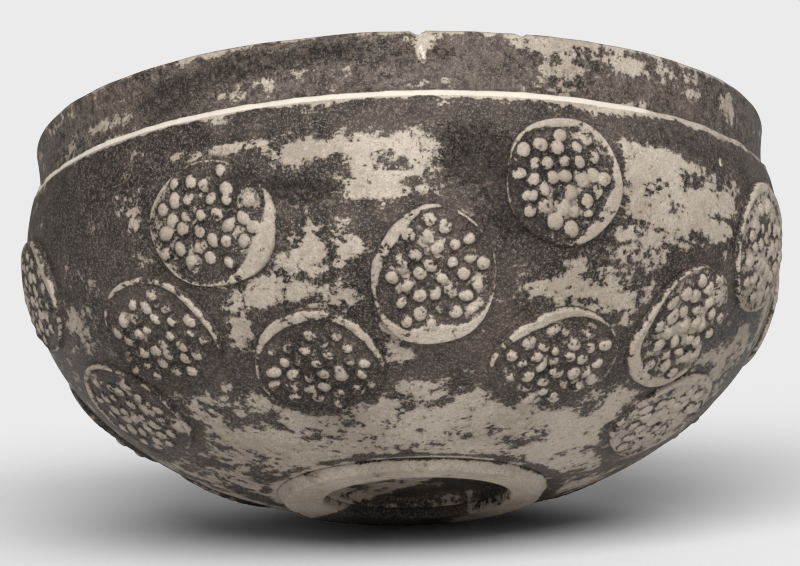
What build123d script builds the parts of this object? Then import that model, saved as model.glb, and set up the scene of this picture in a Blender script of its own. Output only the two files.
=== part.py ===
from build123d import *
import os
from math import asin, cos, degrees, radians, sin, sqrt

# Hemispherical slip-coated bowl with a thrown collar, a luted foot ring and sprigged medallions.
# It stands on its foot ring. The origin is the centre of the foot's resting face, and +Z is the
# bowl's axis, pointing up out of the mouth. Azimuth 0 faces -Y, and it grows towards +X.

# Wall: two tangent arcs below the shoulder, a flat floor inside
BODY_R = 75.0  # greatest radius, at the belly
BELLY_Z = 50.4  # height of the greatest radius
BELLY_ARC_R = 41.6  # arc through the belly, from the shoulder to the turn
BELLY_TURN = 43.6  # degrees below the belly where the flatter lower arc takes over
LOWER_ARC_R = 68.2  # arc from the turn down to the foot
SHOULDER_Z = 61.6  # top of the moulded wall, where the collar is luted on
SHOULDER_ROUND = 0.7  # worn edge of the step below the collar
WALL_T = 5.2  # wall, measured square to the surface
FLOOR_T = 5.2  # floor inside, above the turned recess
FLOOR_ROUND = 14.0  # curve from the floor up into the wall

# Collar: plain band thrown on an added coil, set back from the shoulder
STEP_W = 1.4  # ledge left on the shoulder outside the collar
COLLAR_H = 12.0
COLLAR_FLARE = 0.7  # the lip leans out by this much over the collar's height
COLLAR_WAIST = 0.35  # the outer face draws in by this much between base and lip
LIP_T = 3.6  # wall at the lip
LIP_ROUND = 1.5  # both edges of the lip are rounded over

# Foot: low ring luted under the wall, with a recess turned inside it
FOOT_H = 2.2
FOOT_R = 25.4  # outer radius at the resting face
FOOT_FLARE = 1.4  # the ring widens by this much towards the wall
FOOT_HOLE_R = 18.3
FOOT_ROUND = 0.8  # worn edges of the resting face
RECESS_DEPTH = 4.5  # from the resting face up to the underside of the floor

# Medallions: round sprigs with a plain border and a field of round knobs
MEDALLION_R = 13.0  # as moulded; pressing makes some of them oval
PAD_T = 0.9  # plain ground of the sprig
BORDER_W = 1.5
BORDER_T = 1.3  # thickness at the border
KNOB_R = 1.5
KNOB_ROOT = 0.7  # the knob's flat root lies this far under the pad's face
KNOB_BASE_LATITUDE = -22  # degrees on the knob's sphere where that root is cut
KNOB_ALIGN = (Align.CENTER, Align.CENTER, Align.MIN)
KNOB_COUNT = 30
KNOB_INSET = 3.0  # knob centres keep this far inside the sprig's edge
FIELD_SHIFT = 0.6  # the field of knobs sits off the pad's centre
GOLDEN_TURN = 180 * (3 - sqrt(5))  # degrees from one knob to the next
SPRIG_TURN = 67  # degrees that each sprig is turned from the one before it

# Where each sprig was pressed on, and how oval it came out:
# azimuth in degrees, drop below the belly along the wall, half width round the wall, half height up it
SPRIGS = {
    "upper": [
        (-77, 10.7, 13.0, 11.6),
        (-29, 10.9, 14.0, 12.1),
        (24, 5.9, 12.6, 12.2),
        (70, 8.6, 13.0, 13.0),
        (106, 9.6, 13.0, 12.6),
        (145, 9.2, 12.6, 13.0),
        (184, 8.8, 13.0, 13.0),
        (226, 9.8, 13.2, 12.4),
    ],
    "middle": [
        (-46, 29.2, 14.2, 12.3),
        (4.5, 24.9, 12.3, 13.9),
        (54, 29.8, 11.9, 13.8),
        (122, 28.4, 12.6, 13.0),
        (163, 27.8, 13.0, 12.6),
        (204, 27.6, 12.6, 12.6),
        (247, 28.2, 13.0, 12.8),
    ],
    "lower": [
        (-70.5, 41.2, 14.2, 12.6),
        (-17.5, 41.5, 13.1, 12.2),
        (29.5, 41.3, 13.2, 12.1),
        (73, 47.5, 12.7, 12.3),
        (143, 43.6, 13.0, 12.4),
        (184, 44.0, 12.8, 12.6),
        (225, 43.6, 13.0, 12.6),
    ],
}

# Worked out from the sizes above
BELLY_CENTRE_R = BODY_R - BELLY_ARC_R
ARC_GAP = LOWER_ARC_R - BELLY_ARC_R
LOWER_CENTRE_R = BELLY_CENTRE_R - ARC_GAP * cos(radians(BELLY_TURN))
LOWER_CENTRE_Z = BELLY_Z + ARC_GAP * sin(radians(BELLY_TURN))
BELLY_ARC_LENGTH = BELLY_ARC_R * radians(BELLY_TURN)
RIM_Z = SHOULDER_Z + COLLAR_H
FLOOR_Z = RECESS_DEPTH + FLOOR_T
FOOT_SEAT_R = FOOT_R + FOOT_FLARE


def belly_arc_r(inset, height):
    """Radius of the belly arc, moved in by inset, at a height above the turn."""
    return BELLY_CENTRE_R + sqrt((BELLY_ARC_R - inset) ** 2 - (height - BELLY_Z) ** 2)


def lower_arc_r(inset, height):
    """Radius of the lower arc, moved in by inset, at a height below the turn."""
    return LOWER_CENTRE_R + sqrt((LOWER_ARC_R - inset) ** 2 - (LOWER_CENTRE_Z - height) ** 2)


def belly_arc_point(inset, angle):
    """Point of the belly arc, moved in by inset, at an angle in degrees below the belly."""
    reach = BELLY_ARC_R - inset
    return BELLY_CENTRE_R + reach * cos(radians(angle)), BELLY_Z - reach * sin(radians(angle))


def lower_arc_point(inset, angle):
    """Point of the lower arc, moved in by inset, at an angle in degrees below the horizontal."""
    reach = LOWER_ARC_R - inset
    return LOWER_CENTRE_R + reach * cos(radians(angle)), LOWER_CENTRE_Z - reach * sin(radians(angle))


def shoulder_angle(inset):
    """Angle below the belly of the shoulder's height, which is negative as it lies above."""
    return -degrees(asin((SHOULDER_Z - BELLY_Z) / (BELLY_ARC_R - inset)))


def lower_angle(inset, height):
    """Angle below the horizontal at which the lower arc reaches a height."""
    return degrees(asin((LOWER_CENTRE_Z - height) / (LOWER_ARC_R - inset)))


def wall_arcs(inset, end_height):
    """Draws the two arcs of the wall, moved in by inset, from the shoulder down to a height."""
    top = shoulder_angle(inset)
    ThreePointArc(
        belly_arc_point(inset, top),
        belly_arc_point(inset, (top + BELLY_TURN) / 2),
        belly_arc_point(inset, BELLY_TURN),
    )
    end = lower_angle(inset, end_height)
    ThreePointArc(
        lower_arc_point(inset, BELLY_TURN),
        lower_arc_point(inset, (BELLY_TURN + end) / 2),
        lower_arc_point(inset, end),
    )


def on_wall(azimuth, drop):
    """Plane that touches the wall's outside: X runs round the bowl, Y up the wall and Z out of it."""
    if drop <= BELLY_ARC_LENGTH:
        angle = degrees(drop / BELLY_ARC_R)
        r, z = belly_arc_point(0, angle)
    else:
        angle = BELLY_TURN + degrees((drop - BELLY_ARC_LENGTH) / LOWER_ARC_R)
        r, z = lower_arc_point(0, angle)
    turn, tilt = radians(azimuth), radians(angle)
    outward = (cos(tilt) * sin(turn), -cos(tilt) * cos(turn), -sin(tilt))
    return Plane(origin=(r * sin(turn), -r * cos(turn), z), x_dir=(cos(turn), sin(turn), 0), z_dir=outward)


def knob_places(azimuth, drop, wide, tall, turn):
    """Planes under the knobs of one sprig, laid out like the seeds of a sunflower."""
    shift_u = FIELD_SHIFT * cos(radians(turn))
    shift_v = FIELD_SHIFT * sin(radians(turn))
    seat = on_wall(azimuth, drop).origin
    middle_r = sqrt(seat.X**2 + seat.Y**2)
    for k in range(KNOB_COUNT):
        reach = sqrt((k + 0.5) / KNOB_COUNT)
        angle = radians(turn + k * GOLDEN_TURN)
        u = shift_u + (wide - KNOB_INSET) * reach * cos(angle)
        v = shift_v + (tall - KNOB_INSET) * reach * sin(angle)
        place = on_wall(azimuth + degrees(u / middle_r), drop - v)
        yield place.offset(PAD_T - KNOB_ROOT)


os.makedirs("parts", exist_ok=True)

# Moulded wall with its floor, open at the top, with a recess turned in its underside
with BuildPart() as bowl_wall:
    with BuildSketch(Plane.XZ):
        with BuildLine():
            wall_arcs(0, FOOT_H)
            Polyline(
                (lower_arc_r(0, FOOT_H), FOOT_H),
                (FOOT_HOLE_R, FOOT_H),
                (FOOT_HOLE_R, RECESS_DEPTH),
                (0, RECESS_DEPTH),
                (0, FLOOR_Z),
                (lower_arc_r(WALL_T, FLOOR_Z), FLOOR_Z),
            )
            wall_arcs(WALL_T, FLOOR_Z)
            Line((belly_arc_r(WALL_T, SHOULDER_Z), SHOULDER_Z), (belly_arc_r(0, SHOULDER_Z), SHOULDER_Z))
        make_face()
    revolve(axis=Axis.Z)
    circles = bowl_wall.edges().filter_by(GeomType.CIRCLE)
    fillet(circles.group_by(Axis.Z)[-1].sort_by(SortBy.RADIUS)[-1], SHOULDER_ROUND)
    floor_face = bowl_wall.faces().filter_by(Plane.XY).sort_by(lambda face: abs(face.center().Z - FLOOR_Z))[0]
    fillet(floor_face.edges(), FLOOR_ROUND)
bowl_wall.part.label = "bowl_wall"
export_step(bowl_wall.part, "parts/bowl_wall.step")

# Collar thrown on the shoulder, slightly waisted, with a rounded lip
with BuildPart() as rim_collar:
    base_out = belly_arc_r(0, SHOULDER_Z) - STEP_W
    base_in = belly_arc_r(WALL_T, SHOULDER_Z)
    lip_out = base_out + COLLAR_FLARE
    lip_in = lip_out - LIP_T
    with BuildSketch(Plane.XZ):
        with BuildLine():
            Line((base_in, SHOULDER_Z), (base_out, SHOULDER_Z))
            ThreePointArc(
                (base_out, SHOULDER_Z),
                ((base_out + lip_out) / 2 - COLLAR_WAIST, (SHOULDER_Z + RIM_Z) / 2),
                (lip_out, RIM_Z),
            )
            Polyline((lip_out, RIM_Z), (lip_in, RIM_Z), (base_in, SHOULDER_Z))
        make_face()
    revolve(axis=Axis.Z)
    fillet(rim_collar.edges().filter_by(GeomType.CIRCLE).group_by(Axis.Z)[-1], LIP_ROUND)
rim_collar.part.label = "rim_collar"
export_step(rim_collar.part, "parts/rim_collar.step")

# Foot ring, flared where it is luted to the wall's underside
with BuildPart() as foot_ring:
    with BuildSketch(Plane.XZ):
        with BuildLine():
            Polyline(
                (FOOT_HOLE_R, FOOT_H),
                (FOOT_HOLE_R, 0),
                (FOOT_R, 0),
                (FOOT_SEAT_R, FOOT_H),
                close=True,
            )
        make_face()
    revolve(axis=Axis.Z)
    fillet(foot_ring.edges().filter_by(GeomType.CIRCLE).group_by(Axis.Z)[0], FOOT_ROUND)
foot_ring.part.label = "foot_ring"
export_step(foot_ring.part, "parts/foot_ring.step")


def wall_skin(thickness):
    """Closed skin of that thickness over the wall's outside, from the shoulder down to the foot."""
    with BuildPart() as skin:
        with BuildSketch(Plane.XZ):
            with BuildLine():
                wall_arcs(0, FOOT_H)
                Line((lower_arc_r(0, FOOT_H), FOOT_H), lower_arc_point(-thickness, lower_angle(0, FOOT_H)))
                end = lower_angle(0, FOOT_H)
                ThreePointArc(
                    lower_arc_point(-thickness, end),
                    lower_arc_point(-thickness, (BELLY_TURN + end) / 2),
                    lower_arc_point(-thickness, BELLY_TURN),
                )
                top = shoulder_angle(0)
                ThreePointArc(
                    belly_arc_point(-thickness, BELLY_TURN),
                    belly_arc_point(-thickness, (top + BELLY_TURN) / 2),
                    belly_arc_point(-thickness, top),
                )
                Line(belly_arc_point(-thickness, top), belly_arc_point(0, top))
            make_face()
        revolve(axis=Axis.Z)
    return skin.part


pad_skin = wall_skin(PAD_T)
border_skin = wall_skin(BORDER_T)

# Sprigged medallions, each one moulded piece: pad, border and knobs
sprig_number = 0
for row, places in SPRIGS.items():
    for count, (azimuth, drop, wide, tall) in enumerate(places, start=1):
        turn = SPRIG_TURN * sprig_number
        sprig_number += 1
        base = on_wall(azimuth, drop).offset(-MEDALLION_R)
        with BuildPart() as border:
            with BuildSketch(base):
                Ellipse(wide, tall)
                Ellipse(wide - BORDER_W, tall - BORDER_W, mode=Mode.SUBTRACT)
            extrude(amount=2 * MEDALLION_R)
            add(border_skin, mode=Mode.INTERSECT)
        with BuildPart() as medallion:
            with BuildSketch(base):
                Ellipse(wide, tall)
            extrude(amount=2 * MEDALLION_R)
            add(pad_skin, mode=Mode.INTERSECT)
            add(border.part)
            with Locations(*knob_places(azimuth, drop, wide, tall, turn)):
                Sphere(KNOB_R, arc_size1=KNOB_BASE_LATITUDE, align=KNOB_ALIGN)
        medallion.part.label = f"medallion_{row}_{count}"
        export_step(medallion.part, f"parts/{medallion.part.label}.step")
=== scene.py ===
# %% [markdown]
# # A slip-coated pottery bowl with sprigged medallions
# The imported CAD model is the frame: it fixes where every piece sits and how large it is. This lesson
# dresses each piece as fired clay under a dark slip that has flaked and rubbed away with age.

# %% Load the frame
from math import asin, cos, degrees, pi, radians, sin, sqrt
from types import SimpleNamespace

import bmesh
import bpy
import numpy as np
from mathutils import Matrix, Vector


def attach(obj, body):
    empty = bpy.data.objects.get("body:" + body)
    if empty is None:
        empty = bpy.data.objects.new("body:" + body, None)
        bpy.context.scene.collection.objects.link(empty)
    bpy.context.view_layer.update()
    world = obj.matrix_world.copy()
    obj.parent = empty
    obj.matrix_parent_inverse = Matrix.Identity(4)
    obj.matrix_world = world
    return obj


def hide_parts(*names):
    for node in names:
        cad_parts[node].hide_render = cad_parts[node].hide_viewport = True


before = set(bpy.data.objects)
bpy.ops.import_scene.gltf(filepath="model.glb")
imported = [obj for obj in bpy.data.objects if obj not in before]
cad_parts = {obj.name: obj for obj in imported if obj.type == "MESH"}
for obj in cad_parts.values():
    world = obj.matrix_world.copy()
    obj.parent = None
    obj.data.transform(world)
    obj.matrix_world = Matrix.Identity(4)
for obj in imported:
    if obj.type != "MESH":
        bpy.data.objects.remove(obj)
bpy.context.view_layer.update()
scene = bpy.context.scene
MM = 0.001
print("frame:", len(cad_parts), "nodes")

# %% [markdown]
# ## The camera
# The bowl leans back on the table, so in its own frame the camera looks up at it from below. A long
# lens from about a metre keeps the ellipses of rim and foot as flat as they should be. The camera is
# built from three axes instead of angles, because its small roll is then one line. It aims a little
# to the left of the bowl's middle and above it, which puts the bowl where it belongs in the picture.

# %% Camera
CAMERA_BELOW = radians(14.61)
CAMERA_ROLL = radians(-2.08)
CAMERA_DISTANCE = 0.953
LOOK_AT = Vector((0, 0, 0.037))
AIM_LEFT, AIM_ABOVE = 0.001317, 0.00694
SENSOR_WIDTH, LENS = 36.0, 214.9
NEAREST_SEEN = 0.05

back = Vector((0, -cos(CAMERA_BELOW), -sin(CAMERA_BELOW)))
level = Vector((1, 0, 0))
upward = back.cross(level)
side_axis = level * cos(CAMERA_ROLL) + upward * sin(CAMERA_ROLL)
up_axis = upward * cos(CAMERA_ROLL) - level * sin(CAMERA_ROLL)
camera_data = bpy.data.cameras.new("camera")
camera_data.sensor_width = SENSOR_WIDTH
camera_data.lens = LENS
camera_data.clip_start = NEAREST_SEEN
camera = bpy.data.objects.new("camera", camera_data)
scene.collection.objects.link(camera)
place = LOOK_AT + back * CAMERA_DISTANCE
aim = LOOK_AT - side_axis * AIM_LEFT + up_axis * AIM_ABOVE
look = (place - aim).normalized()
across = up_axis.cross(look).normalized()
turned = Matrix((across, look.cross(across), look)).transposed().to_4x4()
camera.matrix_world = Matrix.Translation(place) @ turned
scene.camera = camera
print("camera at", [round(c, 3) for c in place])

# %% [markdown]
# ## A pen for turned pieces
# Wall, collar and foot are all turned shapes, so each one is half a cross-section spun round the
# bowl's axis. The pen draws that section with operators alone: a vertex is extruded for a straight
# run, and spun about a centre for an arc. Then the whole line is spun round Z.

# %% Pen for half a cross-section
SAME_POINT = 1e-6


class Section:
    """Half a cross-section, drawn from point to point in millimetres from the bowl's axis."""

    def __init__(self, r, z):
        self.bm = bmesh.new()
        self.tip = bmesh.ops.create_vert(self.bm, co=(r * MM, 0, z * MM))["vert"][0]

    def line(self, r, z, steps=1):
        """Draw a straight run to a point."""
        start, end = self.tip.co.copy(), Vector((r * MM, 0, z * MM))
        for step in range(steps):
            self.tip = bmesh.ops.extrude_vert_indiv(self.bm, verts=[self.tip])["verts"][0]
            self.tip.co = start.lerp(end, (step + 1) / steps)

    def arc(self, centre_r, centre_z, sweep, steps):
        """Swing the tip about a centre, anticlockwise with the axis on the left."""
        made = bmesh.ops.spin(
            self.bm, geom=[self.tip], cent=(centre_r * MM, 0, centre_z * MM), axis=(0, 1, 0),
            angle=-radians(sweep), steps=steps,
        )
        self.tip = [part for part in made["geom_last"] if isinstance(part, bmesh.types.BMVert)][0]

    def turn(self, steps):
        """Spin the finished section round the bowl's axis."""
        bm = self.bm
        bmesh.ops.spin(
            bm, geom=bm.verts[:] + bm.edges[:], cent=(0, 0, 0), axis=(0, 0, 1), angle=2 * pi,
            steps=steps, use_merge=True,
        )
        bmesh.ops.remove_doubles(bm, verts=bm.verts, dist=SAME_POINT)
        bmesh.ops.recalc_face_normals(bm, faces=bm.faces)
        return bm


def make_piece(bm, name):
    """Turn a finished bmesh into a smooth piece that rides on the bowl and replaces its CAD node."""
    mesh = bpy.data.meshes.new(name)
    bm.to_mesh(mesh)
    bm.free()
    mesh.shade_smooth()
    piece = bpy.data.objects.new("dressed_" + name, mesh)
    scene.collection.objects.link(piece)
    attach(piece, "root")
    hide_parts(name)
    return piece


print("pen ready")

# %% [markdown]
# ## Points, paint and noise
# The wear and the unevenness are worked out for all points of a piece at once, in millimetres. What a
# finish has to know is stored on the points as a painted layer. The noise is a sum of sine waves in
# random directions from a fixed seed, so it is smooth and the same on every run. Where a later cell
# names a pair of numbers, they are the two ends of a ramp.

# %% Helpers for points
WAVE_COUNT = 14
WAVE_RATE = 2.2
WAVE_SUM = 5.3


def points_of(piece):
    """A piece's points in millimetres, one per row."""
    flat = np.empty(len(piece.data.vertices) * 3)
    piece.data.vertices.foreach_get("co", flat)
    return flat.reshape(-1, 3) / MM


def move_points(piece, points):
    """Put a piece's points where these rows say."""
    piece.data.vertices.foreach_set("co", (points * MM).ravel())
    piece.data.update()


def paint(piece, **layers):
    """Store one number per vertex for each named layer, for the finishes to read."""
    for name, values in layers.items():
        layer = piece.data.attributes.new(name, "FLOAT", "POINT")
        layer.data.foreach_set("value", np.asarray(values, dtype=np.float32))


def ramp(value, low, high):
    """Smooth step from 0 at low to 1 at high, which may also be the smaller of the two."""
    t = np.clip((value - low) / (high - low), 0, 1)
    return t * t * (3 - 2 * t)


def rough(points, size, seed):
    """Soft noise of about -1 to 1 at each point, with lumps of a size in millimetres."""
    chance = np.random.default_rng(seed)
    waves = chance.normal(0, WAVE_RATE / size, (WAVE_COUNT, 3))
    phases = chance.uniform(0, 2 * pi, WAVE_COUNT)
    return np.sin(points @ waves.T + phases).sum(axis=1) / WAVE_SUM


print("helpers ready")

# %% [markdown]
# ## The moulded wall
# The wall is two arcs that run into each other below the belly, with an even thickness, a flat floor
# and a recess turned in the underside. Lengths are in millimetres and angles in degrees. The angles
# where arcs begin and end are worked out from heights, so the section closes by itself.

# %% Wall
BELLY_R, BELLY_Z, BELLY_ARC = 75.0, 50.4, 41.6
LOWER_ARC, ARC_TURN = 68.2, 43.6
WALL_T, FLOOR_Z, FLOOR_ROUND = 5.2, 9.7, 14.0
SHOULDER_Z, SHOULDER_ROUND = 61.6, 0.7
FOOT_H, FOOT_HOLE = 2.2, 18.3
RECESS_Z, RECESS_BEVEL_R, RECESS_BEVEL_Z = 4.5, 0.6, 0.5
RIM_Z = 73.6
BELLY_C = BELLY_R - BELLY_ARC
LOWER_C = BELLY_C - (LOWER_ARC - BELLY_ARC) * cos(radians(ARC_TURN))
LOWER_CZ = BELLY_Z + (LOWER_ARC - BELLY_ARC) * sin(radians(ARC_TURN))

foot_angle = degrees(asin((LOWER_CZ - FOOT_H) / LOWER_ARC))
wall_foot_r = LOWER_C + LOWER_ARC * cos(radians(foot_angle))
edge_angle = degrees(asin((SHOULDER_Z - SHOULDER_ROUND - BELLY_Z) / (BELLY_ARC - SHOULDER_ROUND)))
edge_c = BELLY_C + (BELLY_ARC - SHOULDER_ROUND) * cos(radians(edge_angle))
inner_arc, inner_lower = BELLY_ARC - WALL_T, LOWER_ARC - WALL_T
inner_angle = degrees(asin((SHOULDER_Z - BELLY_Z) / inner_arc))
inner_top = BELLY_C + inner_arc * cos(radians(inner_angle))
bend_z = FLOOR_Z + FLOOR_ROUND
bend_angle = degrees(asin((LOWER_CZ - bend_z) / (inner_lower - FLOOR_ROUND)))
bend_r = LOWER_C + (inner_lower - FLOOR_ROUND) * cos(radians(bend_angle))

section = Section(0, RECESS_Z)
section.line(FOOT_HOLE - RECESS_BEVEL_R, RECESS_Z, steps=10)
section.line(FOOT_HOLE, RECESS_Z - RECESS_BEVEL_Z)
section.line(FOOT_HOLE, FOOT_H, steps=2)
section.line(wall_foot_r, FOOT_H, steps=8)
section.arc(LOWER_C, LOWER_CZ, foot_angle - ARC_TURN, steps=60)
section.arc(BELLY_C, BELLY_Z, ARC_TURN + edge_angle, steps=74)
section.arc(edge_c, SHOULDER_Z - SHOULDER_ROUND, 90 - edge_angle, steps=6)
section.line(inner_top, SHOULDER_Z, steps=6)
section.arc(BELLY_C, BELLY_Z, -(inner_angle + ARC_TURN), steps=34)
section.arc(LOWER_C, LOWER_CZ, ARC_TURN - bend_angle, steps=18)
section.arc(bend_r, bend_z, bend_angle - 90, steps=8)
section.line(0, FLOOR_Z, steps=14)
wall = make_piece(section.turn(steps=400), "bowl_wall")
print("wall:", len(wall.data.vertices), "vertices")

# %% [markdown]
# ## Not quite true
# A thrown pot is never quite true, so every piece goes through the same slight unevenness, and they
# stay joined. The bowl swells a little to the left and its rim rises and falls. The recess and its
# hole sit off the middle of the foot.

# %% Unevenness
LEFT_SWELL = 0.0075
ROUND_SWELL, ROUND_SWELL_PHASE = 0.0015, 1.1
RIM_LIFT, RIM_LIFT_PHASE = 0.2, 0.9
HOLE_SHIFT = 0.9
SHIFT_FADE_R = (24, 18.5)
SHIFT_FADE_Z = (RECESS_Z + 0.6, RECESS_Z + 0.2)


def wobble(points):
    """The slight unevenness of hand work, the same for every piece."""
    x, y, z = points.T
    around = np.arctan2(x, -y)
    height = z / RIM_Z
    left = np.clip(-np.sin(around), 0, 1) ** 2
    swell = 1 + height * (LEFT_SWELL * left + ROUND_SWELL * np.cos(3 * around + ROUND_SWELL_PHASE))
    lift = height**2 * RIM_LIFT * np.cos(2 * around + RIM_LIFT_PHASE)
    near_hole = ramp(np.hypot(x, y), *SHIFT_FADE_R) * ramp(z, *SHIFT_FADE_Z)
    return np.column_stack((x * swell + HOLE_SHIFT * near_hole, y * swell, z + lift))


print("rim rises and falls by", RIM_LIFT, "mm")

# %% [markdown]
# ## Where the sprigs go
# Each medallion was pressed in a small mould and luted on by eye, so no two are quite level. A place
# on the wall is an azimuth, 0 towards the camera, and a drop below the belly measured along the wall.
# Then come its half width and half height, since pressing made some oval, the broad stretches of its
# border (direction, 0 to the right and 90 up, and extra width), and how much barer the sprig is.

# %% Sprig places
SPRIGS = {
    "upper": [
        (-77, 10.7, 13.0, 11.6, [(20, 2.2), (150, 1.0)], 0.02),
        (-29, 10.9, 14.0, 12.1, [(-38, 3.4)], 0.12),
        (24, 5.9, 12.6, 12.2, [(85, 1.3), (-28, 2.6)], 0.17),
        (70, 8.6, 13.0, 13.0, [(100, 1.6)], 0.28),
        (106, 9.6, 13.0, 12.6, [(200, 2.0)], 0.08),
        (145, 9.2, 12.6, 13.0, [(20, 2.6)], 0.03),
        (184, 8.8, 13.0, 13.0, [(290, 3.0)], 0.06),
        (226, 9.8, 13.2, 12.4, [(120, 1.8)], 0.02),
    ],
    "middle": [
        (-46, 29.2, 14.2, 12.3, [(20, 0.8), (95, 0.8)], -0.10),
        (4.5, 24.9, 12.3, 13.9, [(145, 2.0), (-88, 3.4)], 0.03),
        (54, 29.8, 11.9, 13.8, [(205, 1.5), (-95, 2.0)], 0.20),
        (122, 28.4, 12.6, 13.0, [(90, 2.2)], 0.10),
        (163, 27.8, 13.0, 12.6, [(330, 2.4)], 0.04),
        (204, 27.6, 12.6, 12.6, [(100, 1.4)], 0.0),
        (247, 28.2, 13.0, 12.8, [(45, 2.0)], 0.03),
    ],
    "lower": [
        (-70.5, 41.2, 14.2, 12.6, [(120, 1.2)], 0.08),
        (-17.5, 41.5, 13.1, 12.2, [(40, 1.3), (115, 1.8)], -0.07),
        (29.5, 41.3, 13.2, 12.1, [(125, 2.0)], 0.07),
        (73, 47.5, 12.7, 12.3, [(110, 1.8)], 0.34),
        (143, 43.6, 13.0, 12.4, [(60, 1.6)], 0.08),
        (184, 44.0, 12.8, 12.6, [(240, 2.6)], 0.10),
        (225, 43.6, 13.0, 12.6, [(170, 1.6)], 0.04),
    ],
}
BELLY_LENGTH = BELLY_ARC * radians(ARC_TURN)


def on_wall(azimuth, drop, lift):
    """Points on the wall's outside, raised square to it; angles in radians, lengths in millimetres."""
    upper = drop <= BELLY_LENGTH
    angle = np.where(upper, drop / BELLY_ARC, radians(ARC_TURN) + (drop - BELLY_LENGTH) / LOWER_ARC)
    reach = np.where(upper, BELLY_ARC, LOWER_ARC) + lift
    r = np.where(upper, BELLY_C, LOWER_C) + reach * np.cos(angle)
    z = np.where(upper, BELLY_Z, LOWER_CZ) - reach * np.sin(angle)
    return np.column_stack((r * np.sin(azimuth), -r * np.cos(azimuth), z))


def wall_radius(drop):
    """Radius of the wall's outside at a drop below the belly."""
    return on_wall(np.zeros_like(drop), drop, 0.0)[:, 1] * -1


def drop_of(z):
    """Drop below the belly of a height on the wall's outside."""
    turn_z = BELLY_Z - BELLY_ARC * sin(radians(ARC_TURN))
    high = BELLY_ARC * np.arcsin(np.clip((BELLY_Z - z) / BELLY_ARC, -1, 1))
    low = np.arcsin(np.clip((LOWER_CZ - z) / LOWER_ARC, -1, 1))
    return np.where(z >= turn_z, high, BELLY_LENGTH + LOWER_ARC * (low - radians(ARC_TURN)))


print("sprigs:", sum(len(row) for row in SPRIGS.values()))

# %% [markdown]
# ## Patches of wear
# The slip survives in some places and is gone in others, so the wear is laid down in listed patches: soft
# patches say how bare a spot is, and the finish later breaks their edges into flakes. A patch is an
# azimuth in degrees, a height, its half width in degrees and half height, and how much barer (or
# darker, below zero) it makes the clay. Crust patches say the same of the rough dark crust.

# %% Wear patches
BARE_ON_WALL = [
    (47, 44, 14, 12, 0.37), (39, 51, 8, 4, 0.30), (31, 59.4, 8, 1.6, 0.36), (-5, 50.4, 13, 2.6, 0.40),
    (-27, 52.8, 9, 1.6, 0.34), (-15, 51, 6, 1.4, 0.30), (-4, 43.5, 11, 4.2, 0.34), (4, 47.5, 4, 3, 0.25),
    (-43, 47, 3.5, 4.5, 0.28), (-11, 34, 8, 5, 0.25), (-16, 27, 11, 4.5, 0.21), (-9, 22, 7, 5, 0.15),
    (-30, 20.5, 3.2, 4.5, 0.60), (-24, 27, 7, 3.5, 0.30), (-2.5, 16.5, 3.5, 4, 0.40),
    (27, 26, 10, 5, 0.24), (36, 24, 9, 4.5, 0.21), (10, 8, 45, 7, 0.22), (-46, 10, 16, 6, 0.19),
    (52, 9, 16, 7, 0.21), (71, 17, 10, 8, 0.31), (82, 24, 9, 13, 0.19), (-67, 32, 5, 8, 0.22),
    (55, 54.4, 0.9, 1.2, 1.0),
]
DARK_ON_WALL = [
    (12, 47.5, 7, 7, -0.30), (1, 43.5, 1.6, 1.5, -0.40), (-14, 43.5, 8, 3.6, -0.22),
    (-4, 55.8, 22, 2.3, -0.30), (-28, 57, 9, 2.0, -0.26), (50, 56.6, 17, 3.6, -0.40),
    (17, 33, 6, 7, -0.24), (8, 12, 14, 3.2, -0.30), (43, 9, 7, 2.2, -0.28), (-40, 8.8, 9, 1.8, -0.26),
    (-33, 17, 6, 5, -0.18), (-57, 46, 14, 13, -0.20), (-62, 58, 22, 6, -0.20),
]
FAR_SIDE_OF_WALL = [
    (115, 50, 14, 8, 0.27), (150, 34, 12, 9, 0.22), (195, 48, 16, 6, 0.25), (245, 38, 10, 10, 0.21),
    (140, 12, 30, 7, 0.19), (215, 10, 35, 7, 0.21), (170, 55, 20, 4, -0.25), (100, 36, 9, 9, -0.25),
    (225, 22, 12, 6, -0.22), (262, 52, 14, 8, -0.22),
]
COLLAR_PATCHES = [
    (32, 69, 8, 2.6, 0.30), (24, 71.5, 7, 1.6, 0.24), (43, 70.5, 9, 2.4, 0.24), (62, 67.5, 4, 4, 0.26),
    (26, 67.5, 5, 1.4, 0.20), (-6, 67, 4, 1.0, 0.22), (4, 71, 1.6, 3.0, 0.35), (3.4, 68.5, 0.9, 2.0, 0.40),
    (130, 69, 12, 4, 0.28), (200, 66, 14, 4, 0.26), (275, 70, 9, 3, 0.20),
]
CRUST_PATCHES = [
    (-36, 66.5, 8, 4.5, 0.62), (-21, 69.5, 11, 3.2, 0.60), (-8, 70, 8, 2.6, 0.50), (4, 68.5, 8, 2.4, 0.40),
    (12, 48.5, 10, 7.5, 0.66), (20, 42, 9, 8, 0.50), (-13, 43.2, 7, 3.0, 0.55), (-22, 45, 6, 4, 0.45),
    (16, 36, 7, 5, 0.42), (48, 56.4, 16, 3.6, 0.42), (150, 68, 14, 4, 0.55), (205, 54, 10, 5, 0.60),
]
WALL_PATCHES = BARE_ON_WALL + DARK_ON_WALL + FAR_SIDE_OF_WALL
PATCH_FADE = (1.45, 0.25)


def patched(points, patches):
    """Sum of the soft patches at each point."""
    x, y, z = points.T
    azimuth = np.degrees(np.arctan2(x, -y))
    total = np.zeros(len(points))
    for centre, height, wide, tall, amount in patches:
        off = (azimuth - centre + 180) % 360 - 180
        distance = np.sqrt((off / wide) ** 2 + ((z - height) / tall) ** 2)
        total += amount * ramp(distance, *PATCH_FADE)
    return total


print("patches:", len(WALL_PATCHES), "on the wall,", len(COLLAR_PATCHES), "on the collar")
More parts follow.
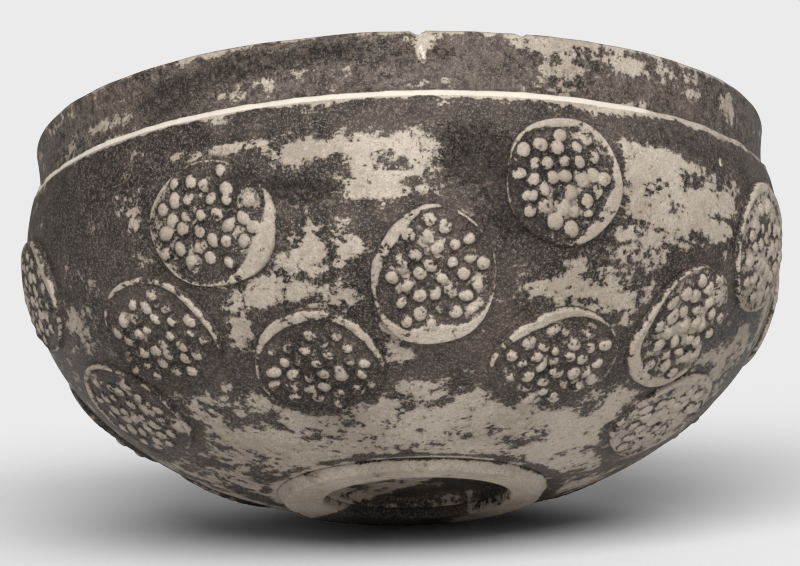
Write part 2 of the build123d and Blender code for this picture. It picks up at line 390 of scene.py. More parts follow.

# %% [markdown]
# ## Wear on the wall
# To the patches come a barer belt near the foot, slip that outlived the rest round the sprigs and in
# the seam of the foot, and the ledge, rubbed to fresh clay except on the right. The recess underneath
# is painted dark as shade, and as pale clay past a straight shadow edge. A bareness of about a half is
# where the slip gives way.
# Azimuths are in radians here, except for the ledge's, which are in degrees.

# %% Wall wear
WALL_BARE, LOW_BARE, LOW_BELT = 0.33, 0.17, (16, 6)
COARSE_WEAR, FINE_WEAR, WEAR_LUMPS = 14, 5, 0.05
OUTSIDE_DEPTH = 1.2
KEPT_BY_SPRIG, SPRIG_SURROUND = 0.22, (1.30, 1.04)
SEAM_BARE, SEAM_R, SEAM_Z = 0.12, (30.4, 29.2), (5.0, 3.4)
SEAM_LEFT_SHARE, SEAM_LEFT = 0.35, (-0.7, -0.2)
LEDGE_BARE, LEDGE_Z, LEDGE_R = 1.15, (59.7, 60.5), (71.5, 72.2)
LEDGE_KEPT, LEDGE_KEPT_FROM, LEDGE_KEPT_TO = 0.48, (34, 50), (130, 110)
INSIDE_BARE, FLOOR_BARE, FLOOR_WORN_R, INSIDE_WEAR = 0.30, 0.10, (40, 10), 12
RECESS_TOP = RECESS_Z + 0.2
# The recess is painted dark as shade, and as pale clay past a straight shadow edge.
RECESS_SHADE_BARE, PAST_SHADOW_BARE, SHADOW_EDGE_SPAN = 0.30, 0.45, (-0.8, 0.8)
RAGGED, RAGGED_Z, RAGGED_R, RAGGED_SIZE, RAGGED_LEAST = 0.25, (60.2, 61.2), (72.2, 73.2), 2.2, 0.4
SHADOW_EDGE_ACROSS, SHADOW_EDGE_START = np.array((-0.784, -0.622, 2.386)), 7.1


def past_shadow_edge(points):
    """Millimetres past the straight edge of the painted shadow on the underside."""
    return points @ SHADOW_EDGE_ACROSS - SHADOW_EDGE_START


def under_sprigs(azimuth, radius, drop):
    """How far each point of the wall is under a sprig, or close round one."""
    cover = np.zeros(len(drop))
    for row in SPRIGS.values():
        for sprig_azimuth, sprig_drop, wide, tall, _, _ in row:
            off = (azimuth - radians(sprig_azimuth) + pi) % (2 * pi) - pi
            distance = np.hypot(off * radius / wide, (drop - sprig_drop) / tall)
            cover += ramp(distance, *SPRIG_SURROUND)
    return cover


points = points_of(wall)
x, y, z = points.T
radius = np.hypot(x, y)
azimuth = np.arctan2(x, -y)
drop = drop_of(z)
outside = radius > wall_radius(drop) - OUTSIDE_DEPTH
inside = ~outside
recess = inside & (z < RECESS_TOP)

bare = WALL_BARE + LOW_BARE * ramp(z, *LOW_BELT) + patched(points, WALL_PATCHES)
bare += WEAR_LUMPS * (rough(points, COARSE_WEAR, seed=1) + rough(points, FINE_WEAR, seed=2))
bare -= KEPT_BY_SPRIG * under_sprigs(azimuth, radius, drop)
seam = ramp(radius, *SEAM_R) * ramp(z, *SEAM_Z)
seam *= SEAM_LEFT_SHARE + (1 - SEAM_LEFT_SHARE) * ramp(azimuth, *SEAM_LEFT)
bare = bare * (1 - seam) + SEAM_BARE * seam
ledge = ramp(z, *LEDGE_Z) * ramp(radius, *LEDGE_R)
ledge_slip = ramp(np.degrees(azimuth), *LEDGE_KEPT_FROM) * ramp(np.degrees(azimuth), *LEDGE_KEPT_TO)
bare = bare * (1 - ledge) + (LEDGE_BARE - LEDGE_KEPT * ledge_slip) * ledge
bare[inside] = INSIDE_BARE + FLOOR_BARE * ramp(radius[inside], *FLOOR_WORN_R)
bare[inside] += WEAR_LUMPS * rough(points[inside], INSIDE_WEAR, seed=3)
# Painted shadow: dark slip in the recess, pale clay only past the straight shadow edge.
bare[recess] = RECESS_SHADE_BARE + PAST_SHADOW_BARE * ramp(past_shadow_edge(points[recess]), *SHADOW_EDGE_SPAN)
crust = np.where(inside, 0.0, patched(points, CRUST_PATCHES))
paint(wall, bare=bare, crust=np.clip(crust, 0, 1))

ragged = RAGGED * ramp(z, *RAGGED_Z) * ramp(radius, *RAGGED_R)
ragged *= rough(points, RAGGED_SIZE, seed=4) + RAGGED_LEAST
points[:, :2] *= (1 - ragged / radius.clip(1))[:, None]
move_points(wall, wobble(points))
print("wall wear:", round(float(bare[outside].mean()), 2), "on average")

# %% [markdown]
# ## The collar
# The collar is a plain band thrown from a coil on the shoulder. It draws in slightly at its waist and
# has a rounded lip. It is turned finely, because a hairline crack runs down it from the lip.

# %% Collar
COLLAR_OUT = 72.06
LIP_OUT, LIP_IN, LIP_ROUND = 72.70, 69.16, 1.5

section = Section(inner_top, SHOULDER_Z)
section.line(COLLAR_OUT, SHOULDER_Z, steps=3)
section.line(LIP_OUT, RIM_Z - LIP_ROUND, steps=18)
section.arc(LIP_OUT - LIP_ROUND, RIM_Z - LIP_ROUND, 90, steps=8)
section.line(LIP_IN + LIP_ROUND, RIM_Z, steps=2)
section.arc(LIP_IN + LIP_ROUND, RIM_Z - LIP_ROUND, 90, steps=6)
section.line(inner_top, SHOULDER_Z, steps=8)
collar = make_piece(section.turn(steps=720), "rim_collar")
print("collar:", len(collar.data.vertices), "vertices")

# %% [markdown]
# ## Wear on the collar
# The lip is rubbed, most of all at the right of the front. The crack starts in a notch of the lip and
# wanders down to the right, with clay showing along its upper part. A second, smaller nick is beside
# it. Azimuths are in degrees here.

# %% Collar wear
OUTER_FACE = (70.6, 71.4)
WAIST, WAIST_SPAN = 0.35, 12
COLLAR_BARE, COLLAR_LUMPS, COLLAR_WEAR = 0.27, 0.05, 9
LIP_BARE, LIP_SIDE_BARE, LIP_SIDE, LIP_Z = 0.10, 0.26, 48, (72.0, 73.3)
CRACK_AT, CRACK_LEAN, CRACK_SPAN, CRACK_WANDER, CRACK_KINK = 3.2, 1.5, 11, 0.35, 1.6
CRACK_WIDTH, CRACK_DEPTH, CRACK_BARE, CRACK_CLAY_Z = (0.55, 0.1), 0.22, 0.35, (61, 68)
NOTCH_WIDTH, NOTCH_DEPTH = (1.3, 0.2), 0.7
NICK_AT, NICK_WIDTH, NICK_DEPTH = 19.1, (0.9, 0.2), 0.5
LIP_LUMPS, LIP_LUMP_SIZE = 0.12, 6

points = points_of(collar)
x, y, z = points.T
radius = np.hypot(x, y)
azimuth = np.degrees(np.arctan2(x, -y))
outer = ramp(radius, *OUTER_FACE)
waist = WAIST * np.sin(np.pi * np.clip((z - SHOULDER_Z) / WAIST_SPAN, 0, 1)) * outer
lip = ramp(z, *LIP_Z)
lip_side = 0.5 + 0.5 * np.cos(np.radians(azimuth - LIP_SIDE))
crack = CRACK_AT + CRACK_LEAN * (RIM_Z - z) / CRACK_SPAN
crack += CRACK_WANDER * rough(points * (0, 0, 1), CRACK_KINK, seed=6)
on_crack = ramp(np.abs(azimuth - crack), *CRACK_WIDTH) * outer
notch = ramp(np.abs(azimuth - CRACK_AT), *NOTCH_WIDTH) * lip * NOTCH_DEPTH
nick = ramp(np.abs(azimuth - NICK_AT), *NICK_WIDTH) * lip * NICK_DEPTH

bare = COLLAR_BARE + patched(points, COLLAR_PATCHES) + COLLAR_LUMPS * rough(points, COLLAR_WEAR, seed=5)
bare += lip * (LIP_BARE + LIP_SIDE_BARE * lip_side)
bare += CRACK_BARE * on_crack * ramp(z, *CRACK_CLAY_Z)
paint(collar, bare=bare, crust=np.clip(patched(points, CRUST_PATCHES), 0, 1) * outer)
points[:, :2] *= (1 - (waist + CRACK_DEPTH * on_crack) / radius)[:, None]
points[:, 2] -= notch + nick + LIP_LUMPS * lip * rough(points, LIP_LUMP_SIZE, seed=7)
move_points(collar, wobble(points))
print("collar wear:", round(float(bare.mean()), 2), "on average")

# %% [markdown]
# ## The foot ring
# The foot is a low ring luted under the wall. It was wiped clean of slip, and its edges are worn
# round from standing, so its section has soft corners and its outside is a little uneven. Its hole is
# painted darker as shade, the seam with the wall keeps slip and is darkened as painted shade in the
# joint, and the back, past the straight shadow edge, is painted dark as the shadow near the table.
# What lies to the left is told by an azimuth in radians.

# %% Foot ring
FOOT_R, FOOT_SEAT = 25.4, 26.8
HOLE_ROUND = 0.8
FOOT_EDGE_ROUND, FOOT_EDGE_IN, FOOT_EDGE_SWEEP = 0.9, 0.7, 46
FOOT_BARE, FOOT_LUMPS, FOOT_WEAR = 0.77, 0.08, 6
# Painted shade: the hole's edge is darkened, and the back of the foot nearest the table is painted dark.
HOLE_SHADE, HOLE_SHADE_R = 0.25, (19.2, 18.4)
FOOT_SEAM_SLIP_AND_SHADE, FOOT_SEAM_Z, FOOT_SEAM_R = 0.40, (1.4, 2.1), (23, 24)
FOOT_SEAM_LOST, FOOT_LEFT = 0.30, (-0.1, -0.6)
FOOT_BACK_SHADE, FOOT_SHADE_EDGE, FOOT_SHADE_Y, FOOT_SHADE_X = 0.60, (0.5, -1.5), (4, 8), (12, 3)
UNEVEN, UNEVEN_SIZE, UNEVEN_R, UNEVEN_Z = 0.22, 4, (24.0, 25.4), (2.1, 1.2)

section = Section(FOOT_HOLE, FOOT_H)
section.line(FOOT_HOLE, HOLE_ROUND, steps=3)
section.arc(FOOT_HOLE + HOLE_ROUND, HOLE_ROUND, 90, steps=5)
section.line(FOOT_R - FOOT_EDGE_IN, 0, steps=10)
section.arc(FOOT_R - FOOT_EDGE_IN, FOOT_EDGE_ROUND, FOOT_EDGE_SWEEP, steps=5)
section.line(FOOT_SEAT, FOOT_H, steps=5)
section.line(FOOT_HOLE, FOOT_H, steps=4)
foot = make_piece(section.turn(steps=300), "foot_ring")

points = points_of(foot)
x, y, z = points.T
radius = np.hypot(x, y)
left = ramp(np.arctan2(x, -y), *FOOT_LEFT)
bare = FOOT_BARE + FOOT_LUMPS * rough(points, FOOT_WEAR, seed=8) - HOLE_SHADE * ramp(radius, *HOLE_SHADE_R)
# Slip kept along the seam with the wall, and painted shade in that joint.
foot_joint_slip_and_shade = ramp(z, *FOOT_SEAM_Z) * ramp(radius, *FOOT_SEAM_R)
bare -= foot_joint_slip_and_shade * (FOOT_SEAM_SLIP_AND_SHADE - FOOT_SEAM_LOST * left)
# Painted shadow: the back of the foot, near the table, is dark past the straight shadow edge.
foot_back_shade = ramp(y, *FOOT_SHADE_Y) * ramp(x, *FOOT_SHADE_X)
bare -= FOOT_BACK_SHADE * ramp(past_shadow_edge(points), *FOOT_SHADE_EDGE) * foot_back_shade
paint(foot, bare=bare, crust=np.zeros(len(points)))
uneven = UNEVEN * ramp(radius, *UNEVEN_R) * ramp(z, *UNEVEN_Z)
points[:, :2] *= (1 + uneven * rough(points, UNEVEN_SIZE, seed=9) / radius)[:, None]
move_points(foot, wobble(points))
print("foot:", len(foot.data.vertices), "vertices")

# %% [markdown]
# ## The shape of a sprig
# A sprig is a thin pad with a raised border and a field of round knobs, all from one small mould. Its
# border is broad in some directions and rubbed away in others. The knobs follow a sunflower's spiral,
# nudged a little, slightly oval, and a few are rubbed low. Round some knobs the clay is bare in a
# halo, and others keep slip in the crease at their foot, darkened further there as painted shade.

# %% Border and knobs
EDGE_OVAL, EDGE_LOBES, LOBES_PHASE = 0.020, 0.014, 2.3
BORDER_WIDTH, BORDER_RISE = (1.05, 0.55), (0.0, 0.7)
BORDER_LEFT, BORDER_LEFT_ONCE, BORDER_LEFT_THRICE, BORDER_PHASE = 0.66, 0.45, 0.25, 2.1
KNOB_R, KNOB_H, KNOB_COUNT, KNOB_INSET, KNOB_NUDGE = 1.5, 1.1, 30, 3.0, 0.28
KNOB_SIZES, KNOB_OVALS, DOME_POWERS = (0.82, 1.12), (0.86, 1.16), (0.5, 0.75)
KNOB_SHARES, KNOB_SHARE_ODDS = [1.0, 0.9, 0.78, 0.5], [0.5, 0.25, 0.17, 0.08]
KNOB_WORN = (0.6, 1.2)
HALO_SHARES, HALO_ODDS, HALO_REACH = [0.0, 0.5, 1.0], [0.45, 0.30, 0.25], (2.0, 1.0)
CREASE_AT, CREASE_WIDTH, CREASE_LOST, CREASE_BELOW = 1.04, (0.34, 0.06), 0.8, (0.75, 0.35)
FIELD_SHIFT = 0.35
GOLDEN = pi * (3 - sqrt(5))


def sprig_border(u, v, wide, tall, broad, seed):
    """Distance in from a sprig's edge, extra width of its border there, and how far a spot is border."""
    around = np.arctan2(v / tall, u / wide)
    edge = 1 + EDGE_OVAL * np.cos(2 * around + seed) + EDGE_LOBES * np.cos(5 * around + LOBES_PHASE * seed)
    inset = (edge - np.hypot(u / wide, v / tall)) * (wide + tall) / 2
    side = sum(extra * np.clip(np.cos(around - radians(way)), 0, 1) ** 3 for way, extra in broad)
    left = BORDER_LEFT + BORDER_LEFT_ONCE * np.sin(around + BORDER_PHASE * seed)
    left = np.clip(left + BORDER_LEFT_THRICE * np.sin(3 * around + seed) + side, 0, 1)
    outer, inner = BORDER_WIDTH
    border = ramp(inset, outer + side, inner + side) * ramp(inset, *BORDER_RISE) * left
    return inset, side, border


def sprig_knobs(u, v, wide, tall, broad, seed):
    """Share of a full knob's height, and how far each spot is knob, bare halo and crease of kept slip and
    painted shade.
    """
    chance = np.random.default_rng(seed)
    raised, shown, halo, crease_slip_and_shade = np.zeros((4, len(u)))
    middle_u = -sum(FIELD_SHIFT * extra * cos(radians(way)) for way, extra in broad)
    middle_v = -sum(FIELD_SHIFT * extra * sin(radians(way)) for way, extra in broad)
    start = chance.uniform(0, 2 * pi)
    for knob in range(KNOB_COUNT):
        reach = sqrt((knob + 0.5) / KNOB_COUNT)
        angle = start + knob * GOLDEN
        off_u = u - middle_u - (wide - KNOB_INSET) * reach * cos(angle) - chance.normal(0, KNOB_NUDGE)
        off_v = v - middle_v - (tall - KNOB_INSET) * reach * sin(angle) - chance.normal(0, KNOB_NUDGE)
        size = KNOB_R * chance.uniform(*KNOB_SIZES)
        oval = chance.uniform(*KNOB_OVALS)
        lean = chance.uniform(0, pi)
        along = (off_u * cos(lean) + off_v * sin(lean)) / (size * oval)
        over = (off_v * cos(lean) - off_u * sin(lean)) / (size / oval)
        dome = np.clip(1 - along**2 - over**2, 0, 1) ** chance.uniform(*DOME_POWERS)
        raised = np.maximum(raised, chance.choice(KNOB_SHARES, p=KNOB_SHARE_ODDS) * dome)
        shown = np.maximum(shown, dome * chance.uniform(*KNOB_WORN))
        spread = chance.choice(HALO_SHARES, p=HALO_ODDS)
        reached = np.hypot(along, over)
        at_foot = ramp(np.abs(reached - CREASE_AT), *CREASE_WIDTH)
        halo = np.maximum(halo, spread * ramp(reached, *HALO_REACH))
        crease_slip_and_shade = np.maximum(crease_slip_and_shade, (1 - CREASE_LOST * spread) * at_foot)
    crease_slip_and_shade *= ramp(shown, *CREASE_BELOW)
    return raised, SimpleNamespace(knob=shown, halo=halo, crease_slip_and_shade=crease_slip_and_shade)


print("each sprig has", KNOB_COUNT, "knobs")

# %% [markdown]
# ## The sprigged medallions
# A sprig starts as a flat lens, spun from a radius. Then each point is carried on to the wall, and
# raised by a height that adds up pad, border and knobs. The knobs are lower on the sprigs at the sides
# and on the far side. The raised parts lost their slip first, so the wear follows the height.

# %% Sprigs
BLANK_R, BLANK_FIELD_R, BLANK_EDGE_R, BLANK_DEPTH = 13, 11.0, 13.5, 1
PAD_T, PAD_RISE, BORDER_T = 0.85, (0.0, 0.75), 0.45
EDGE_SUNK, BACK_SUNK, BORDER_FLATTENS = 0.3, 0.9, 0.35
LOWER_KNOBS, LOWER_KNOBS_AZIMUTH = 0.38, (40, 72)
SPRIG_BARE, SPRIG_BAREST, SPRIG_LUMPS, SPRIG_WEAR = 0.24, 0.84, 0.09, 5
KNOB_BARE, KNOB_BARE_FROM = 0.42, (0.04, 0.72)
HALO_BARE, HALO_ROUND_KNOB = 0.24, (0.4, 0.0)
BORDER_BARE, BROAD_BARE, BROAD_FULL = 0.32, 0.12, 2
# A sprig's outer edge keeps slip and is darkened as painted shade in the groove round it.
SPRIG_EDGE_SLIP_AND_SHADE, SPRIG_EDGE, CREASE_SLIP_AND_SHADE = 0.34, (0.55, 0.15), 0.30
GRIME, GRIME_ROUND_KNOB, GRIME_LOST = 0.28, (0.5, 0.1), 0.6


def sprig_wear(points, spot, barer, seed):
    """How bare and how crusted each point of a sprig is, with painted shade at its edge and in knob
    creases.
    """
    bare = SPRIG_BARE + barer + KNOB_BARE * ramp(spot.knob, *KNOB_BARE_FROM)
    bare += HALO_BARE * spot.halo * ramp(spot.knob, *HALO_ROUND_KNOB)
    broad = np.clip(spot.side / BROAD_FULL, 0, 1)
    bare += spot.border * (BORDER_BARE + BROAD_BARE * broad + max(0, -barer))
    bare += SPRIG_LUMPS * rough(points, SPRIG_WEAR, seed=seed)
    # Painted shade: a darker crease at each knob's foot and round the sprig's edge, partly kept slip.
    bare -= SPRIG_EDGE_SLIP_AND_SHADE * ramp(spot.inset, *SPRIG_EDGE) + CREASE_SLIP_AND_SHADE * spot.crease_slip_and_shade
    grime = (GRIME + patched(points, CRUST_PATCHES)) * ramp(spot.knob, *GRIME_ROUND_KNOB)
    grime *= (1 - spot.border) * (1 - GRIME_LOST * spot.halo)
    return np.minimum(bare, SPRIG_BAREST), np.clip(grime, 0, 1)


def make_sprig(name, azimuth, drop, wide, tall, broad, barer, seed):
    """One sprig on the wall, with its wear."""
    section = Section(0, 0)
    section.line(BLANK_FIELD_R, 0, steps=38)
    section.line(BLANK_EDGE_R, 0, steps=12)
    section.line(BLANK_EDGE_R, -BLANK_DEPTH)
    section.line(0, -BLANK_DEPTH, steps=3)
    piece = make_piece(section.turn(steps=190), name)
    blank = points_of(piece)
    u, v = blank[:, 0] * wide / BLANK_R, blank[:, 1] * tall / BLANK_R
    raised, spot = sprig_knobs(u, v, wide, tall, broad, seed)
    spot.inset, spot.side, spot.border = sprig_border(u, v, wide, tall, broad, seed)
    rise = ramp(spot.inset, *PAD_RISE)
    knob_height = KNOB_H * (1 - LOWER_KNOBS * ramp(abs(azimuth), *LOWER_KNOBS_AZIMUTH))
    height = -EDGE_SUNK + (EDGE_SUNK + PAD_T) * rise + BORDER_T * spot.border
    height += knob_height * raised * rise * (1 - BORDER_FLATTENS * spot.border)
    height = np.where(blank[:, 2] > -BLANK_DEPTH / 2, height, -BACK_SUNK)
    drops = drop - v
    points = on_wall(radians(azimuth) + u / wall_radius(drops), drops, height)
    bare, grime = sprig_wear(points, spot, barer, seed)
    paint(piece, bare=bare, crust=grime)
    move_points(piece, wobble(points))
    return piece


sprigs = []
for row, places in SPRIGS.items():
    for count, place_on_wall in enumerate(places, start=1):
        sprigs.append(make_sprig(f"medallion_{row}_{count}", *place_on_wall, seed=len(sprigs) + 1))
print("sprigs:", len(sprigs), "with", len(sprigs[0].data.vertices), "vertices each")

# %% [markdown]
# ## A small language for finishes
# A material is easier to read as arithmetic than as a list of node links. One class wraps a socket
# and gives it Python's operators, and one method adds any other node with its settings and sockets.

# %% Finish classes


class Value:
    """A socket of a finish, with operators that add Math nodes."""

    def __init__(self, finish, socket):
        self.finish, self.socket = finish, socket

    def maths(self, operation, first, second):
        return self.finish.add("ShaderNodeMath", {"operation": operation}, {0: first, 1: second})

    def __add__(self, other):
        return self.maths("ADD", self, other)

    def __sub__(self, other):
        return self.maths("SUBTRACT", self, other)

    def __rsub__(self, other):
        return self.maths("SUBTRACT", other, self)

    def __mul__(self, other):
        return self.maths("MULTIPLY", self, other)

    __radd__ = __add__
    __rmul__ = __mul__


class Finish:
    """A material that is built up node by node."""

    def __init__(self, name):
        self.material = bpy.data.materials.new(name)
        self.material.use_nodes = True
        self.tree = self.material.node_tree
        self.tree.nodes.clear()

    def add(self, kind, settings=None, sockets=None, output=0):
        """Add a node, and give back one of its outputs."""
        node = self.tree.nodes.new(kind)
        for key, value in (settings or {}).items():
            setattr(node, key, value)
        for key, value in (sockets or {}).items():
            if isinstance(value, Value):
                self.tree.links.new(value.socket, node.inputs[key])
            else:
                node.inputs[key].default_value = value
        return Value(self, node.outputs[output])

    def show(self, shader):
        """Make a shader the material's surface."""
        end = self.tree.nodes.new("ShaderNodeOutputMaterial")
        self.tree.links.new(shader.socket, end.inputs["Surface"])

    def painted(self, layer):
        """A layer that was painted on the points."""
        return self.add("ShaderNodeAttribute", {"attribute_name": layer}, output="Fac")

    def noise(self, where, scale, detail, roughness, stretch=None):
        """Noise of 0 to 1, with its lumps set by a scale per metre."""
        if stretch:
            where = self.add("ShaderNodeMapping", None, {"Vector": where, "Scale": stretch})
        sockets = {"Vector": where, "Scale": scale, "Detail": detail, "Roughness": roughness}
        return self.add("ShaderNodeTexNoise", None, sockets)

    def step(self, value, low, high):
        """Smooth step from 0 at low to 1 at high."""
        settings = {"interpolation_type": "SMOOTHSTEP"}
        return self.add("ShaderNodeMapRange", settings, {"Value": value, 1: low, 2: high})

    def blend(self, share, first, second):
        """A colour, with a share of the second in the first."""
        return self.add("ShaderNodeMix", {"data_type": "RGBA"}, {0: share, 6: first, 7: second}, output=2)


print("finish classes ready")

# %% [markdown]
# ## Worn slip on fired clay
# One finish serves every piece. It reads how bare the spot is, breaks the edge of the wear with noise
# at four sizes (one drawn out along the turning), and steps sharply between slip and clay, because
# slip comes off in flakes. The slip has a low sheen and stands a little proud, the clay is matt and
# grainy, and the crust is rough and almost black. Where a piece is barest, fresh clay shows.

# %% Colours and noises
SLIP_DARK = (0.008, 0.006, 0.0055, 1)
SLIP_MID = (0.050, 0.037, 0.031, 1)
CLAY_PALE = (0.44, 0.385, 0.320, 1)
CLAY_DEEP = (0.29, 0.245, 0.195, 1)
STAIN = (0.145, 0.115, 0.092, 1)
SPECK = (0.30, 0.252, 0.205, 1)
CRUST = (0.030, 0.025, 0.022, 1)
FRESH = (0.53, 0.48, 0.415, 1)
NOISES = {
    "patchy": {"scale": 45.0, "detail": 4.0, "roughness": 0.55},
    "streak": {"scale": 60.0, "detail": 10.0, "roughness": 0.66, "stretch": (1, 1, 4.5)},
    "lines": {"scale": 30.0, "detail": 5.0, "roughness": 0.6, "stretch": (0.4, 0.4, 26)},
    "flake": {"scale": 190.0, "detail": 8.0, "roughness": 0.60},
    "chip": {"scale": 640.0, "detail": 6.0, "roughness": 0.62},
    "grain": {"scale": 1700.0, "detail": 4.0, "roughness": 0.70},
    "speck": {"scale": 4200.0, "detail": 2.0, "roughness": 0.6},
}
NOISE_MEAN = 0.5
SHEEN, SHEEN_VARIES, CLAY_MATT, CRUST_MATT = 0.56, 0.4, 0.92, 0.30
SLIP_T, BUMP_STRENGTH = 0.11, 1.0
CLAY_IOR, CLAY_SPECULAR = 1.45, 0.22
print("noises:", ", ".join(NOISES))

# %% [markdown]
# ## Layers of the finish
# Clay and slip are each built up in thin layers of colour: a broad mottling first, then stains and
# specks. How strong each layer is stands beside it. The five numbers of a finish say how far streaks,
# flakes, chips and fine grain break up the edge of the wear, and how faded its slip is.

# %% Worn slip


class WornSlip(Finish):
    """Dark slip that has flaked off pale clay, with patches of rough crust."""

    def __init__(self, name, streaks, flakes, chips, fine, faded):
        super().__init__(name)
        where = self.add("ShaderNodeTexCoord", output="Object")
        # The painted layer bare also holds painted shade: in the recess, on the foot, at sprig edges and
        # knob creases.
        self.bare = self.painted("bare")
        self.noises = {key: self.noise(where, **settings) for key, settings in NOISES.items()}
        self.off = {key: noise - NOISE_MEAN for key, noise in self.noises.items()}
        off = self.off
        rind = self.painted("crust") + off["flake"] * 1.6 + off["chip"] * 1.8 + off["grain"] * 0.8
        self.crusted = self.step(rind, 0.46, 0.60)
        coarse = self.bare + off["streak"] * streaks + off["flake"] * flakes
        self.field = coarse + off["chip"] * chips + off["grain"] * fine
        self.gone = self.step(self.field - self.crusted * 0.25, 0.487, 0.513)
        colour = self.blend(self.gone, self.slip(faded), self.clay())
        self.show(self.surface(colour))

    def clay(self):
        """Colour of the bare clay: mottled, stained at the edge of the wear and in its pores."""
        grain, off = self.noises["grain"], self.off
        mottled = self.step(self.noises["patchy"] + off["chip"] * 0.7, 0.32, 0.68)
        colour = self.blend(mottled, CLAY_DEEP, CLAY_PALE)
        near_slip = self.step(self.field, 0.66, 0.50)
        colour = self.blend(near_slip * 0.50, colour, STAIN)
        pores = self.step(grain + off["chip"] * 0.5, 0.56, 0.66)
        colour = self.blend(pores * 0.60, colour, STAIN)
        dotted = self.step(self.noises["speck"], 0.42, 0.62)
        colour = self.blend((1 - dotted) * 0.36, colour, STAIN)
        fresh = self.step(self.bare + off["chip"] * 0.4, 0.90, 1.05)
        return self.blend(fresh, colour, FRESH)

    def slip(self, faded):
        """Colour of the slip: mottled, worn thin near its edge, faded, crusted and specked."""
        grain, chip, off = self.noises["grain"], self.noises["chip"], self.off
        mottled = self.step(self.noises["patchy"] + off["flake"] * 0.9, 0.34, 0.70)
        colour = self.blend(mottled, SLIP_DARK, SLIP_MID)
        thin = self.step(self.field, 0.26, 0.50) * self.step(grain, 0.50, 0.62)
        colour = self.blend(thin * 0.60, colour, STAIN)
        colour = self.blend(self.step(chip, 0.40, 0.60) * faded, colour, STAIN)
        colour = self.blend(self.crusted * self.step(chip, 0.66, 0.46) * 0.85, colour, CRUST)
        specked = self.step(self.noises["speck"] + off["grain"] * 0.9, 0.52, 0.66)
        return self.blend(specked * (1 - 0.4 * self.crusted) * 0.40, colour, SPECK)

    def surface(self, colour):
        """The shader, with its sheen and its fine relief."""
        off = self.off
        sheen = SHEEN + off["flake"] * SHEEN_VARIES
        matt = self.gone * (CLAY_MATT - sheen) + sheen + self.crusted * CRUST_MATT
        relief = off["grain"] * 0.22 + off["chip"] * 0.16 + off["flake"] * 0.14
        relief = relief + off["lines"] * 0.12 + off["speck"] * 0.07 - self.gone * SLIP_T
        relief = relief + self.crusted * (self.noises["chip"] * 1.1 + self.noises["grain"] * 0.5)
        sockets = {"Strength": BUMP_STRENGTH, "Distance": MM, "Height": relief}
        bump = self.add("ShaderNodeBump", None, sockets)
        sockets = {"Base Color": colour, "Roughness": matt, "Normal": bump}
        sockets.update({"IOR": CLAY_IOR, "Specular IOR Level": CLAY_SPECULAR})
        return self.add("ShaderNodeBsdfPrincipled", None, sockets)


wall_finish = WornSlip("worn_slip_on_wall", streaks=1.4, flakes=1.8, chips=1.2, fine=0.4, faded=0.10)
collar_finish = WornSlip("worn_slip_on_collar", streaks=1.4, flakes=1.5, chips=1.1, fine=0.4, faded=0.46)
sprig_finish = WornSlip("worn_slip_on_sprigs", streaks=0.3, flakes=1.4, chips=1.6, fine=0.5, faded=0.10)
foot_finish = WornSlip("wiped_clay_foot", streaks=0.6, flakes=0.9, chips=0.7, fine=0.5, faded=0.0)
wall.data.materials.append(wall_finish.material)
collar.data.materials.append(collar_finish.material)
for piece in sprigs:
    piece.data.materials.append(sprig_finish.material)
foot.data.materials.append(foot_finish.material)
print("finishes on", len(sprigs) + 3, "pieces")

# %% [markdown]
# ## The table
# The bowl leans back on the underside of its wall, so in the bowl's frame the table slopes. It runs
# level from side to side, and the camera stands a few degrees above it. Its height is found from the
# meshes: it just touches the lowest point. The table only catches the shadow, so that the pale
# background shows everywhere else, and from below it is clear.

# %% Table
CAMERA_OVER_TABLE = radians(6.39)
TABLE_HALF = 4.0
TABLE_GREY = 0.77


def grey(value):
    """A neutral colour."""
    return (value, value, value, 1)


table_up = upward * cos(CAMERA_OVER_TABLE) + back * sin(CAMERA_OVER_TABLE)
table_front = back * cos(CAMERA_OVER_TABLE) - upward * sin(CAMERA_OVER_TABLE)
low_points = np.concatenate([points_of(piece) for piece in [wall, foot] + sprigs])
lowest = Vector(low_points[np.argmin(low_points @ np.array(table_up))]) * MM
table_axes = Matrix((level, -table_front, table_up)).transposed().to_4x4()
bm = bmesh.new()
bmesh.ops.create_grid(bm, x_segments=2, y_segments=2, size=TABLE_HALF)
bmesh.ops.transform(bm, matrix=Matrix.Translation(lowest) @ table_axes, verts=bm.verts)
table_mesh = bpy.data.meshes.new("table")
bm.to_mesh(table_mesh)
bm.free()
table = bpy.data.objects.new("table", table_mesh)
scene.collection.objects.link(table)

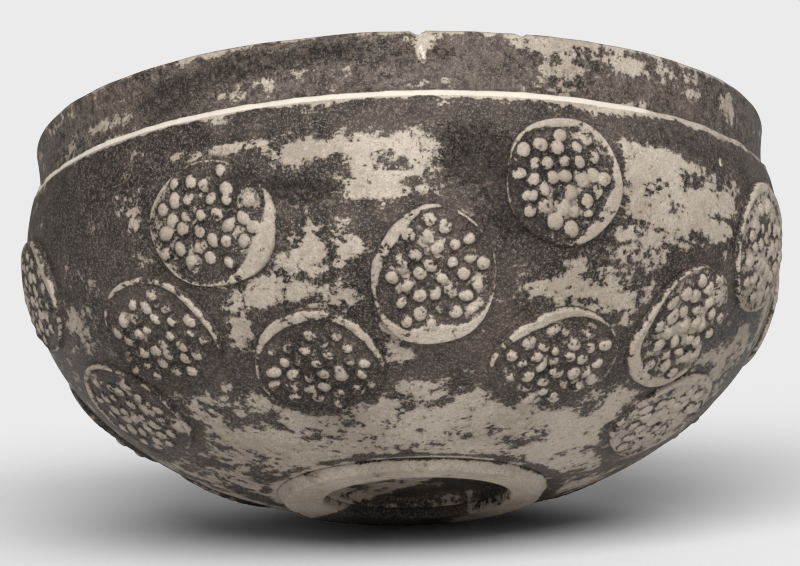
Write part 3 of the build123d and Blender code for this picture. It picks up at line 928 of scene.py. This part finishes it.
finish = Finish("pale_table")
pale = finish.add("ShaderNodeBsdfDiffuse", None, {"Color": grey(TABLE_GREY)})
clear = finish.add("ShaderNodeBsdfTransparent")
under = finish.add("ShaderNodeNewGeometry", output="Backfacing")
finish.show(finish.add("ShaderNodeMixShader", None, {0: under, 1: pale, 2: clear}))
table_mesh.materials.append(finish.material)
table.is_shadow_catcher = True
print("table touches at", [round(c / MM, 1) for c in lowest])

# %% [markdown]
# ## Light and room
# A wide soft light, high in front, does most of the work. A weak one at the left opens the shadows,
# and one behind the bowl lights its far side. Each is placed in metres across, above and in front, as
# the table lies. The camera sees a pale even background, brighter than the room that lights the bowl.

# %% Light and room
ROOM_GREY, ROOM_STRENGTH = 0.84, 0.25
BACKGROUND_GREY = 0.83


def soft_light(name, across, up, front, wide, deep, watts):
    """An oval light that faces the bowl."""
    data = bpy.data.lights.new(name, "AREA")
    data.shape = "ELLIPSE"
    data.size = wide
    data.size_y = deep
    data.energy = watts
    light = bpy.data.objects.new(name, data)
    scene.collection.objects.link(light)
    spot = level * across + table_up * up + table_front * front
    light.location = spot
    light.rotation_euler = (spot - LOOK_AT).to_track_quat("Z", "Y").to_euler()


soft_light("overhead", across=0.06, up=1.10, front=1.20, wide=1.7, deep=1.00, watts=43.5)
soft_light("front", across=-0.7, up=0.7, front=1.2, wide=0.8, deep=0.8, watts=2)
soft_light("behind", across=0.9, up=1.2, front=-1.3, wide=2.2, deep=1.5, watts=12)
world = bpy.data.worlds.new("pale_room")
world.use_nodes = True
nodes, links = world.node_tree.nodes, world.node_tree.links
nodes.clear()
room = nodes.new("ShaderNodeBackground")
room.inputs["Color"].default_value = grey(ROOM_GREY)
room.inputs["Strength"].default_value = ROOM_STRENGTH
background = nodes.new("ShaderNodeBackground")
background.inputs["Color"].default_value = grey(BACKGROUND_GREY)
ray = nodes.new("ShaderNodeLightPath")
mix = nodes.new("ShaderNodeMixShader")
end = nodes.new("ShaderNodeOutputWorld")
links.new(ray.outputs["Is Camera Ray"], mix.inputs[0])
links.new(room.outputs[0], mix.inputs[1])
links.new(background.outputs[0], mix.inputs[2])
links.new(mix.outputs[0], end.inputs["Surface"])
scene.world = world
scene.view_settings.view_transform = "Standard"
print("lights:", len(bpy.data.lights))
